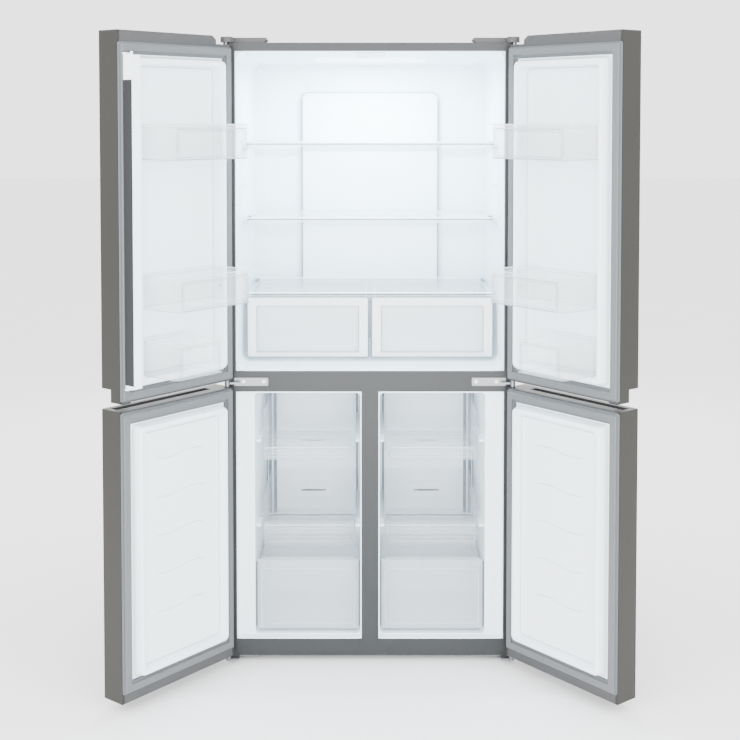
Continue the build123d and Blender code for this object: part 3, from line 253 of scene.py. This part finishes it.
def cell_group():
    """Flat facets of zinc spangle or foam cells: a tone per cell."""
    group, gin, gout = new_group(
        "cell_tone",
        [("Colour", "NodeSocketColor", (0.6, 0.6, 0.6, 1)), ("Scale", "NodeSocketFloat", 60.0),
         ("Contrast", "NodeSocketFloat", 0.2)],
        [("Colour", "NodeSocketColor"), ("Cell", "NodeSocketFloat")])
    new, link = group.nodes.new, group.links.new
    place = new("ShaderNodeTexCoord")
    cells = new("ShaderNodeTexVoronoi")
    link(place.outputs["Object"], cells.inputs["Vector"])
    link(gin.outputs["Scale"], cells.inputs["Scale"])
    parts = new("ShaderNodeSeparateColor")
    link(cells.outputs["Color"], parts.inputs["Color"])
    tone = math_node(group, "MULTIPLY", math_node(group, "SUBTRACT", parts.outputs[0], 0.5),
                     gin.outputs["Contrast"])
    shade = new("ShaderNodeVectorMath")
    shade.operation = "SCALE"
    link(gin.outputs["Colour"], shade.inputs[0])
    link(math_node(group, "ADD", tone, 1.0), shade.inputs["Scale"])
    link(shade.outputs[0], gout.inputs["Colour"])
    link(parts.outputs[0], gout.inputs["Cell"])
    return group


SURFACE = surface_group()
CELLS = cell_group()


def material(name, colour, rough=0.4, metal=0.0, drift=0.04, scale=3.0, grain=(900, 900, 900),
             tone=0.03, relief=0.08, rough_drift=0.1, cells=None, shader=None):
    """Painted, moulded or metal finish from the shared groups."""
    mat = bpy.data.materials.new(name)
    mat.use_nodes = True
    tree = mat.node_tree
    bsdf = tree.nodes["Principled BSDF"]
    broken = tree.nodes.new("ShaderNodeGroup")
    broken.node_tree = SURFACE
    values = {"Colour": (*colour, 1), "Drift": drift, "Drift Scale": scale, "Grain": grain,
              "Grain Tone": tone, "Relief": relief, "Roughness": rough, "Roughness Drift": rough_drift}
    for key, value in values.items():
        broken.inputs[key].default_value = value
    if cells:
        facet = tree.nodes.new("ShaderNodeGroup")
        facet.node_tree = CELLS
        facet.inputs["Colour"].default_value = (*colour, 1)
        facet.inputs["Scale"].default_value = cells[0]
        facet.inputs["Contrast"].default_value = cells[1]
        tree.links.new(facet.outputs["Colour"], broken.inputs["Colour"])
    tree.links.new(broken.outputs["Colour"], bsdf.inputs["Base Color"])
    tree.links.new(broken.outputs["Roughness"], bsdf.inputs["Roughness"])
    tree.links.new(broken.outputs["Normal"], bsdf.inputs["Normal"])
    bsdf.inputs["Metallic"].default_value = metal
    for key, value in (shader or {}).items():
        bsdf.inputs[key].default_value = value
    return mat


def clear(name, colour, face_alpha, edge_alpha, rough=0.12, milk=0.0):
    """Clear moulded plastic or glass: faint face on, brighter where seen along the wall."""
    mat = material(name, colour, rough=rough, drift=0.03, tone=0.01, relief=0.02, rough_drift=0.06,
                   shader={"Specular IOR Level": 0.6, "Subsurface Weight": milk})
    tree = mat.node_tree
    bsdf = tree.nodes["Principled BSDF"]
    facing = tree.nodes.new("ShaderNodeLayerWeight")
    facing.inputs["Blend"].default_value = 0.35
    span = tree.nodes.new("ShaderNodeMapRange")
    span.inputs["To Min"].default_value = face_alpha
    span.inputs["To Max"].default_value = edge_alpha
    tree.links.new(facing.outputs["Facing"], span.inputs["Value"])
    tree.links.new(span.outputs["Result"], bsdf.inputs["Alpha"])
    return mat


M = {
    "steel_graphite": material("door_steel", (0.044, 0.0428, 0.0395), 0.40, 0.85, 0.06, 2.5,
                               (2600, 2600, 22), 0.16, 0.10, 0.12),
    "frame_grey": material("frame_paint", (0.0365, 0.0385, 0.040), 0.42, 0.7, 0.04, 4.0,
                           (700, 700, 700), 0.03, 0.10),
    "liner_white": material("liner_plastic", (0.83, 0.90, 0.95), 0.30, 0.0, 0.02, 2.0,
                            (320, 320, 320), 0.01, 0.05, 0.08, shader={"Subsurface Weight": 0.05}),
    "foam": material("rigid_foam", (0.78, 0.70, 0.50), 0.9, 0.0, 0.12, 9.0, (1400, 1400, 1400),
                     0.25, 0.8, 0.1, cells=(420.0, 0.2)),
    "galvanised": material("zinc_sheet", (0.50, 0.52, 0.54), 0.42, 0.9, 0.06, 4.0,
                           (500, 500, 500), 0.05, 0.05, 0.15, cells=(70.0, 0.28)),
    "compressor_black": material("compressor_enamel", (0.018, 0.018, 0.020), 0.28, 0.0, 0.3, 8.0,
                                 (260, 260, 260), 0.2, 0.15, 0.25),
    "coil_steel": material("coil_paint", (0.05, 0.05, 0.055), 0.45, 0.1, 0.25, 14.0,
                           (500, 500, 500), 0.1, 0.2, 0.2),
    "fan_plastic": material("fan_plastic", (0.06, 0.06, 0.065), 0.55, 0.0, 0.12, 12.0,
                            (1500, 1500, 1500), 0.15, 0.2),
    "coil_aluminium": material("fin_aluminium", (0.74, 0.76, 0.78), 0.35, 1.0, 0.06, 16.0,
                               (90, 90, 2200), 0.12, 0.1, 0.15),
    "lamp_lens": material("lamp_lens", (0.92, 0.96, 1.0), 0.35, 0.0, 0.02, 20.0, (900, 900, 900),
                          0.02, 0.1, shader={"Emission Color": (0.86, 0.95, 1.0, 1),
                                             "Emission Strength": 2.2}),
    "glass": clear("shelf_glass", (0.78, 0.92, 0.90), 0.05, 0.30, 0.04),
    "trim_plastic": clear("shelf_trim", (0.85, 0.91, 0.93), 0.30, 0.80, 0.18, 0.03),
    "clear_plastic": clear("clear_plastic", (0.88, 0.93, 0.96), 0.06, 0.34, 0.10),
    "cap_plastic": material("cap_plastic", (0.040, 0.040, 0.042), 0.52, 0.0, 0.10, 10.0,
                            (1300, 1300, 1300), 0.18, 0.35),
    "gasket_grey": material("gasket_vinyl", (0.092, 0.099, 0.105), 0.62, 0.0, 0.06, 8.0,
                            (800, 800, 800), 0.05, 0.12, shader={"Sheen Weight": 0.15}),
    "hinge_steel": material("hinge_zinc", (0.215, 0.218, 0.226), 0.36, 0.9, 0.08, 12.0,
                            (1600, 60, 1600), 0.14, 0.12),
    "screw_steel": material("screw_zinc", (0.48, 0.48, 0.49), 0.30, 1.0, 0.15, 60.0,
                            (2200, 2200, 2200), 0.12, 0.15),
    "strip_metal": material("strip_coating", (0.028, 0.031, 0.033), 0.42, 0.7, 0.05, 5.0,
                            (2400, 2400, 20), 0.14, 0.1),
    "wheel_plastic": material("wheel_nylon", (0.06, 0.06, 0.06), 0.6, 0.0, 0.15, 20.0,
                              (900, 900, 900), 0.12, 0.25),
    "basket": clear("basket_plastic", (0.84, 0.89, 0.93), 0.05, 0.36, 0.14),
    "drawer": clear("drawer_plastic", (0.80, 0.86, 0.91), 0.22, 0.60, 0.20, 0.03),
    "bead": clear("bin_bead", (0.92, 0.95, 0.97), 0.30, 0.70, 0.12),
    # Painted shade: grey-blue colour for thin tubes that stand for the shade in grooves, round a recess
    # floor and round the proud duct cover.
    "painted_shade_line": material("groove_shade", (0.42, 0.46, 0.50), 0.5, 0.0, 0.05, 6.0, (600, 600, 600),
                       0.03, 0.05),
    # Painted shade for the dark backs of the air slots.
    "slot_painted_shade": material("slot_painted_shade", (0.02, 0.024, 0.028), 0.7, 0.0, 0.05, 20.0, (900, 900, 900),
                          0.05, 0.1),
    "corner_shade": material("corner_shade", (0.16, 0.20, 0.24), 0.4, 0.0, 0.06, 5.0, (500, 500, 500),
                             0.03, 0.05),
    # Painted shade: grey clear plastic for the real moulded outlines of bins and baskets, darker to stand
    # for the shade along their edges.
    "edge_shade_plastic": clear("edge_shade_plastic", (0.42, 0.47, 0.51), 0.42, 0.72, 0.15),
    # Painted light: a faint glow on the shelf and cover front beads for the light their edges carry from
    # the lamp.
    "lit_edge": material("lit_edge", (0.93, 0.97, 1.0), 0.2, 0.0, 0.02, 6.0, (600, 600, 600), 0.01,
                         0.03, shader={"Emission Color": (0.92, 0.98, 1.0, 1), "Emission Strength": 0.35}),
    "clip_grey": material("shelf_clip", (0.16, 0.18, 0.19), 0.45, 0.3, 0.08, 20.0, (900, 900, 900),
                          0.08, 0.12),
    "front_trim": clear("crisper_trim", (0.90, 0.93, 0.95), 0.72, 0.92, 0.24, 0.05),
    "crisper": clear("crisper_plastic", (0.88, 0.95, 0.98), 0.40, 0.66, 0.20, 0.03),
    # Painted shade: near-black colour for thin tubes, bars and fins laid where gaps, seams and slots fall
    # into shade.
    "shadow_gap": material("painted_gap_shade", (0.10, 0.13, 0.15), 0.6, 0.0, 0.1, 10.0,
                           (900, 900, 900), 0.1, 0.15),
}

slots = {row["node"]: row["material_slot"] for row in frame["record"]["subparts"]}
for name, obj in nodes.items():
    key = slots[name]
    if "basket" in name:
        key = "basket"
    if "lower_drawer" in name:
        key = "drawer"
    if name.startswith("crisper_") and name.endswith("_front"):
        key = "front_trim"
    if name in ("crisper_left", "crisper_right"):
        key = "crisper"
    if name == "crisper_cover_frame":
        key = "clear_plastic"
    obj.data.materials.clear()
    obj.data.materials.append(M[key])


# ---------------------------------------------------------------- details on the doors
def seal_loop(z, inset, y, corner):
    """Loop round the seal of a door whose seal stands between the heights z."""
    return loop_xz((SEAL_OUTER + inset, SEAL_INNER - inset), (z[0] + inset, z[1] - inset), y, corner)


def gasket_beads(z):
    """Beads along the seal and the mitre lines at its corners."""
    def fill(bm):
        for inset in (5.5, 12.0, 19.5):
            tube_in(bm, seal_loop(z, inset, SEAL_FACE, 3.0), 0.95, (0, 1, 0), True)
        for x, sx in ((SEAL_OUTER, 1), (SEAL_INNER, -1)):
            for end, sz in ((z[0], 1), (z[1], -1)):
                mitre = [(x + sx * d, SEAL_FACE, end + sz * d) for d in (4.0, 21.0)]
                tube_in(bm, mitre, 0.7, (0, 1, 0))
    return fill


def seal_shade_lines(z):
    """Painted shade lines where the seal meets the door sheet and the liner."""
    def fill(bm):
        for inset, y, r in ((-0.5, -11.8, 1.1), (29.5, -11.6, 1.3)):
            tube_in(bm, seal_loop(z, inset, y, 4.0), r, (0, 1, 0), True)
    return fill


def ridge_round(z):
    """Rounded crest of the moulded ridge that runs round a door liner."""
    def fill(bm):
        tube_in(bm, loop_xz((-361.5, -54.0), (z[0] + 48.0, z[1] - 48.0), 8.6, 13.0), 7.0, (0, 1, 0),
                True, sides=20)
    return fill


def floor_line(z, y):
    """Shade line round the floor of a door liner's recess."""
    def fill(bm):
        loop = loop_xz((-348.0, -67.5), (z[0] + 61.5, z[1] - 61.5), y + 0.1, 10.0)
        tube_in(bm, loop, 0.9, (0, 1, 0), True)
    return fill


def wave(offset, lift, radius):
    """Five shallow wavy grooves pressed into the lower door liners."""
    def fill(bm):
        for k in range(5):
            z = WAVE_LOW + WAVE_STEP * k + offset
            turns = [(x, (x - WAVE_START) / WAVE_LENGTH * math.pi * 2.0) for x in range(*WAVE_X, 6)]
            pts = [(x, WAVE_Y + lift, z + WAVE_HEIGHT * math.sin(turn)) for x, turn in turns]
            tube_in(bm, pts, radius, (0, 1, 0), sides=10)
    return fill


def panel_line(bm):
    """Two panels pressed into the upper door liners."""
    for z, r in (((903.0, 1436.0), 1.5), ((1452.0, 1696.0), 1.1)):
        tube_in(bm, loop_xz(PANEL_X, z, PANEL_Y, PANEL_CORNER), r, (0, 1, 0), True)


def bin_beads(bm):
    """Rim beads and upright ribs of the door bins."""
    for low, high, a, b, reach in BINS:
        top = low + high
        rim = (a - 2.0, b + 2.0), (BIN_BACK, reach + 2.0)
        for z, r in ((top - 0.6, 1.3), (top - 10.0, 0.8)):
            tube_in(bm, loop_xy(*rim, z, BIN_CORNER + 2.0), r, (0, 0, 1), True)
        for x in (b - 28.0, b - 34.0, a + 24.0, a + 30.0):
            tube_in(bm, [(x, reach - 3.3, low + 12.0), (x, reach - 0.4, top - 12.0)], 0.8, (1, 0, 0))


def bin_edges(bm):
    """Moulded outlines of the bin fronts and floors."""
    for low, high, a, b, reach in BINS:
        top = low + high
        tube_in(bm, loop_xy((a, b), (BIN_BACK, reach), low + 1.4, BIN_CORNER), 1.0, (0, 0, 1), True)
        for side_in, up_in, top_in, corner, r in ((14.0, 3.0, 12.0, 7.0, 1.0), (20.0, 9.0, 18.0, 5.0, 0.6)):
            outline = loop_xz((a + side_in, b - side_in), (low + up_in, top - top_in), reach - 0.2, corner)
            tube_in(bm, outline, r, (0, 1, 0), True)


def cap_screws(bm):
    for x in CAP_SCREW_X:
        screw_in(bm, x, CAP_SCREW_Y, CAP_TOP, 4.2, (0, 0, 1))


# door, name of the detail, material, slot, what draws it
DOOR_DETAILS = (("upper", "liner_lines", "liner_white", "liner_white", panel_line),
                ("upper", "bin_beads", "bead", "clear_plastic", bin_beads),
                ("upper", "bin_edges", "edge_shade_plastic", "clear_plastic", bin_edges),
                ("lower", "wave_lips", "liner_white", "liner_white", wave(2.6, 0.0, 2.4)),
                # Painted shade: grey lines inside the wavy grooves, under the white lips.
                ("lower", "wave_shade_lines", "painted_shade_line", "liner_white", wave(0.0, 0.1, 1.1)),
                ("upper", "cap_screws", "screw_steel", "screw_steel", cap_screws))
for word, side in SIDES:
    place = on_door(side)
    for level, z, depth in (("upper", UPPER, -20.0), ("lower", LOWER, -2.0)):
        body = "%s_%s_door" % (level, word)
        for label, key, slot, fill in (
                ("gasket_beads", "gasket_grey", "gasket_grey", gasket_beads(z)),
                ("seal_shade_lines", "shadow_gap", "gasket_grey", seal_shade_lines(z)),
                ("liner_ridge", "liner_white", "liner_white", ridge_round(z)),
                ("floor_line", "painted_shade_line", "liner_white", floor_line(z, depth))):
            piece("%s_%s" % (body, label), body, M[key], fill, place)
    for level, label, key, slot, fill in DOOR_DETAILS:
        body = "%s_%s_door" % (level, word)
        piece("%s_%s_%s" % (level, word, label), body, M[key], fill, place)


# ---------------------------------------------------------------- details in the fridge
def duct_side_shadows(bm):
    """Painted shadow down both sides of the proud duct cover."""
    for s in (-1, 1):
        x = s * DUCT_X
        box_in(bm, sorted((x, x + s * 1.8)), (DUCT_FRONT + 0.5, DUCT_FRONT + 15.0), (880.0, 1628.0), 0.4)


def duct_frame(bm):
    edge = DUCT_X - 8.0
    tube_in(bm, loop_xz((-edge, edge), (872.0, 1640.0), DUCT_FRONT, 18.0), 0.8, (0, 1, 0), True)


def duct_outline(bm):
    """Shadow line round the proud duct cover."""
    edge = DUCT_X + 1.2
    tube_in(bm, loop_xz((-edge, edge), (857.0, 1652.6), DUCT_FRONT + 2.0, 20.0), 1.5, (0, 1, 0), True)


def across(y, z):
    """Path from one side of a shelf to the other."""
    return [(-SHELF_X, y, z), (SHELF_X, y, z)]


def shelf_edges(bm):
    """Bright front bead of both shelves and the crisper cover."""
    for z in SHELF_TOPS:
        tube_in(bm, across(SHELF_FRONT + 0.4, z), 1.8, (0, 0, 1), sides=12)
    tube_in(bm, across(COVER_BACK, COVER_TOP), 1.5, (0, 0, 1))


def shelf_shadows(bm):
    for z in SHELF_TOPS:
        tube_in(bm, across(SHELF_FRONT + 0.1, z - 4.2), 1.1, (0, 0, 1))


def crisper_shade_lines(bm):
    """Painted shade lines round a crisper front and round its window."""
    for x, z, y, corner, r in ((CRISPER_FRONT_X, CRISPER_FRONT_Z, 145.0, 5.0, 1.5),
                               (WINDOW_X, WINDOW_Z, 144.2, 4.0, 0.7)):
        tube_in(bm, loop_xz(x, z, y, corner), r, (0, 1, 0), True)


def shelf_clips(bm):
    """Grey clips that hold the shelf and cover glass at the side walls."""
    for z, y in ((SHELF_TOPS[0], 160.0), (SHELF_TOPS[1], 160.0), (COVER_TOP, 432.0)):
        for s in (-1, 1):
            box_in(bm, sorted((s * 358.0, s * 366.5)), (y, y + CLIP_L), (z - 7.0, z + 2.2), 1.6)
            box_in(bm, sorted((s * 353.0, s * 359.0)), (y + 8.0, y + 22.0), (z - 0.6, z + 3.0), 1.0)


def lens_ribs(bm):
    """Ribs across the underside of the ceiling lamp's lens."""
    lo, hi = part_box("fridge_lamp_lens")
    y0, y1 = (lo.y - FRONT) * 1000 + 3.0, (hi.y - FRONT) * 1000 - 3.0
    z = lo.z * 1000
    for k in range(LENS_RIBS):
        x = LENS_RIB_PITCH * (k - (LENS_RIBS - 1) / 2)
        box_in(bm, (x - 1.0, x + 1.0), (y0, y1), (z - 0.7, z + 0.7), 0.4)


FRIDGE_DETAILS = (("fridge_duct_seams", "shadow_gap", "trim_plastic", duct_side_shadows),
                  ("fridge_duct_outline", "painted_shade_line", "trim_plastic", duct_outline),
                  ("fridge_duct_border", "liner_white", "liner_white", duct_frame),
                  ("shelf_edge_beads", "lit_edge", "trim_plastic", shelf_edges),
                  ("shelf_edge_shadows", "shadow_gap", "trim_plastic", shelf_shadows))
for name, key, slot, fill in FRIDGE_DETAILS:
    piece(name, "cabinet", M[key], fill, fixed())
for word, side in SIDES:
    piece("crisper_%s_lines" % word, "crisper_%s" % word, M["shadow_gap"], crisper_shade_lines,
          fixed(side))
piece("shelf_side_clips", "cabinet", M["clip_grey"], shelf_clips, fixed())
piece("fridge_lens_ribs", "cabinet", M["lamp_lens"], lens_ribs, fixed())


# ---------------------------------------------------------------- details in the freezers
def about(middle, reach):
    """Limits that stand the same way to both sides of a middle."""
    return middle - reach, middle + reach


def slot_fins(bm):
    """Upright fins in the two air slots of a freezer column, dark as painted shade inside the slots."""
    for level in SLOT_LEVELS:
        for k in range(9):
            x = COLUMN_X - 34.0 + 8.5 * k
            box_in(bm, about(x, 0.6), (434.6, 439.0), about(level, 2.4), 0.2)


def pad_lines(bm):
    for level in SLOT_LEVELS:
        outline = loop_xz(about(COLUMN_X, 57.0), about(level, 21.0), 434.0, 6.0)
        tube_in(bm, outline, 0.8, (0, 1, 0), True)


# Painted shade: near-black bars behind the air slots, where the slots fall into shade.
def slot_shade_bars(bm):
    for level in SLOT_LEVELS:
        box_in(bm, about(COLUMN_X, 26.0), (433.4, 434.6), about(level, 2.1), 0.3)


def corner_shade_strips(bm):
    """Painted shade strips on the rear corners behind the clear basket sides."""
    for x, width in ((-325.0, 10.0), (-309.0, 10.0), (-45.0, 6.0)):
        box_in(bm, (x, x + width), (437.0, 439.8), (300.0, 762.0), 0.6)


def basket_ribs(floor, lip):
    """Ribs across a basket's floor and the bead along its front lip."""
    def fill(bm):
        ribs_x = BASKET_X[0] + 14.0, BASKET_X[1] - 14.0
        for k in range(9):
            y = BASKET_Y[0] + 24.0 + (BASKET_Y[1] - BASKET_Y[0] - 48.0) * k / 8
            box_in(bm, ribs_x, about(y, 0.9), (floor + 2.8, floor + 4.6), 0.4)
        ends = (BASKET_X[0] + 13.0, BASKET_X[1] - 13.0)
        tube_in(bm, [(x, BASKET_Y[0] + 3.4, floor + lip) for x in ends], 1.5, (0, 0, 1))
    return fill


def basket_edges(floor, lip):
    """Moulded outlines of a basket front."""
    def fill(bm):
        x_limits, z_limits = (BASKET_X[0] + 11.0, BASKET_X[1] - 11.0), (floor + 2.0, floor + lip - 3.0)
        tube_in(bm, loop_xz(x_limits, z_limits, BASKET_Y[0] + 2.4, 6.0), 0.8, (0, 1, 0), True)
        for x in BASKET_X:
            seam = [(x, BASKET_Y[0] + 66.0, floor + rise) for rise in (10.0, 126.0)]
            tube_in(bm, seam, 0.9, (1, 0, 0))
    return fill


def drawer_gap_shades(bm):
    """Painted shade in the side gaps and along the lower edge round the lowest drawer."""
    for x in DRAWER_GAP_X:
        tube_in(bm, [(x, 41.0, 88.0), (x, 41.0, 278.0)], 2.6, (1, 0, 0))
    tube_in(bm, [(-322.0, 41.0, 78.0), (-40.0, 41.0, 78.0)], 1.6, (0, 0, 1))


def drawer_lines(bm):
    tube_in(bm, loop_xz(DRAWER_X, DRAWER_Z, 43.4, 9.0), 1.1, (0, 1, 0), True)


COLUMN_DETAILS = (("slot_fins", "shadow_gap", slot_fins), ("slot_shade_bars", "slot_painted_shade", slot_shade_bars),
                  ("pad_lines", "liner_white", pad_lines), ("corner_shade_strips", "corner_shade", corner_shade_strips))
for word, side in SIDES:
    place = fixed(side)
    for label, key, fill in COLUMN_DETAILS:
        piece("freezer_%s_%s" % (word, label), "cabinet", M[key], fill, place)
    for level, floor, lip in BASKETS:
        basket = "freezer_%s_%s" % (word, level)
        piece(basket + "_ribs", basket, M["bead"], basket_ribs(floor, lip), place)
        piece(basket + "_edges", basket, M["edge_shade_plastic"], basket_edges(floor, lip), place)
    piece("freezer_%s_drawer_lines" % word, "freezer_%s_lower" % word, M["bead"],
          drawer_lines, place)
    piece("freezer_%s_drawer_edges" % word, "freezer_%s_lower" % word, M["shadow_gap"],
          drawer_gap_shades, place)


# ---------------------------------------------------------------- back of the cabinet
def rear_screws(bm):
    """Screws along the top, the compartment's edge and both sides of the back."""
    rows = [(x, z) for x in (-404.0, -200.0, 0.0, 200.0, 404.0) for z in (228.0, 246.0, 1772.0)]
    sides = [(x, z) for x in (-404.0, 404.0) for z in (500.0, 760.0, 1020.0, 1280.0, 1540.0)]
    for x, z in rows + sides:
        screw_in(bm, x, REAR_Y, z, 3.6, (0, 1, 0))


piece("rear_screws", "cabinet", M["screw_steel"], rear_screws, fixed())

# ---------------------------------------------------------------- floor, light, camera
scene = bpy.context.scene
bm = bmesh.new()
bmesh.ops.create_grid(bm, x_segments=1, y_segments=1, size=30.0)
floor_mesh = bpy.data.meshes.new("floor")
bm.to_mesh(floor_mesh)
bm.free()
floor = bpy.data.objects.new("floor", floor_mesh)
floor.data.materials.append(material("floor_white", (0.90, 0.90, 0.90), 0.8, relief=0.0, drift=0.0))
scene.collection.objects.link(floor)


def lamp(name, place, target, size, power, colour=(1, 1, 1), size_y=None):
    data = bpy.data.lights.new(name, "AREA")
    data.shape = "RECTANGLE"
    data.size, data.size_y = size, size_y or size
    data.energy = power
    data.color = colour
    obj = bpy.data.objects.new(name, data)
    scene.collection.objects.link(obj)
    obj.location = place
    obj.rotation_mode = "QUATERNION"
    obj.rotation_quaternion = (Vector(target) - Vector(place)).to_track_quat("-Z", "Y")
    return obj


lamp("key_left", (-2.6, -3.4, 2.6), (0, 0, 0.9), 2.2, 160)
lamp("key_right", (2.6, -3.4, 2.6), (0, 0, 0.9), 2.2, 150)
lamp("front_fill", (0, -4.6, 0.9), (0, 0, 0.8), 2.4, 235)
lamp("back_fill", (0, 3.2, 2.4), (0, 0, 0.9), 2.4, 110)
lens_lo, lens_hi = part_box("fridge_lamp_lens")
lamp("fridge_led", ((lens_lo.x + lens_hi.x) / 2, (lens_lo.y + lens_hi.y) / 2, lens_lo.z - 0.004),
     (0, (lens_lo.y + lens_hi.y) / 2, 0.0), 0.30, 21.0, (0.74, 0.91, 1.0), 0.045)
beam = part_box("freezer_liners")[1].z
for word, side in SIDES:
    x = side * 0.181
    lamp("freezer_%s_glow" % word, (x, FRONT + 0.16, beam - 0.02), (x, FRONT + 0.26, 0.3),
         0.22, 0.45, (0.80, 0.92, 1.0), 0.10)

world = bpy.data.worlds.new("studio")
scene.world = world
world.use_nodes = True
world.node_tree.nodes["Background"].inputs["Color"].default_value = (1, 1, 1, 1)
world.node_tree.nodes["Background"].inputs["Strength"].default_value = 2.9

camera = bpy.data.objects.new("camera", bpy.data.cameras.new("camera"))
scene.collection.objects.link(camera)
scene.camera = camera
camera.data.lens = 63.74
camera.data.sensor_width = 36.0
camera.data.shift_y = -0.265
camera.location = (0, FRONT - CAMERA_BACK, CAMERA_UP)
camera.rotation_euler = (math.radians(CAMERA_TILT), 0, 0)
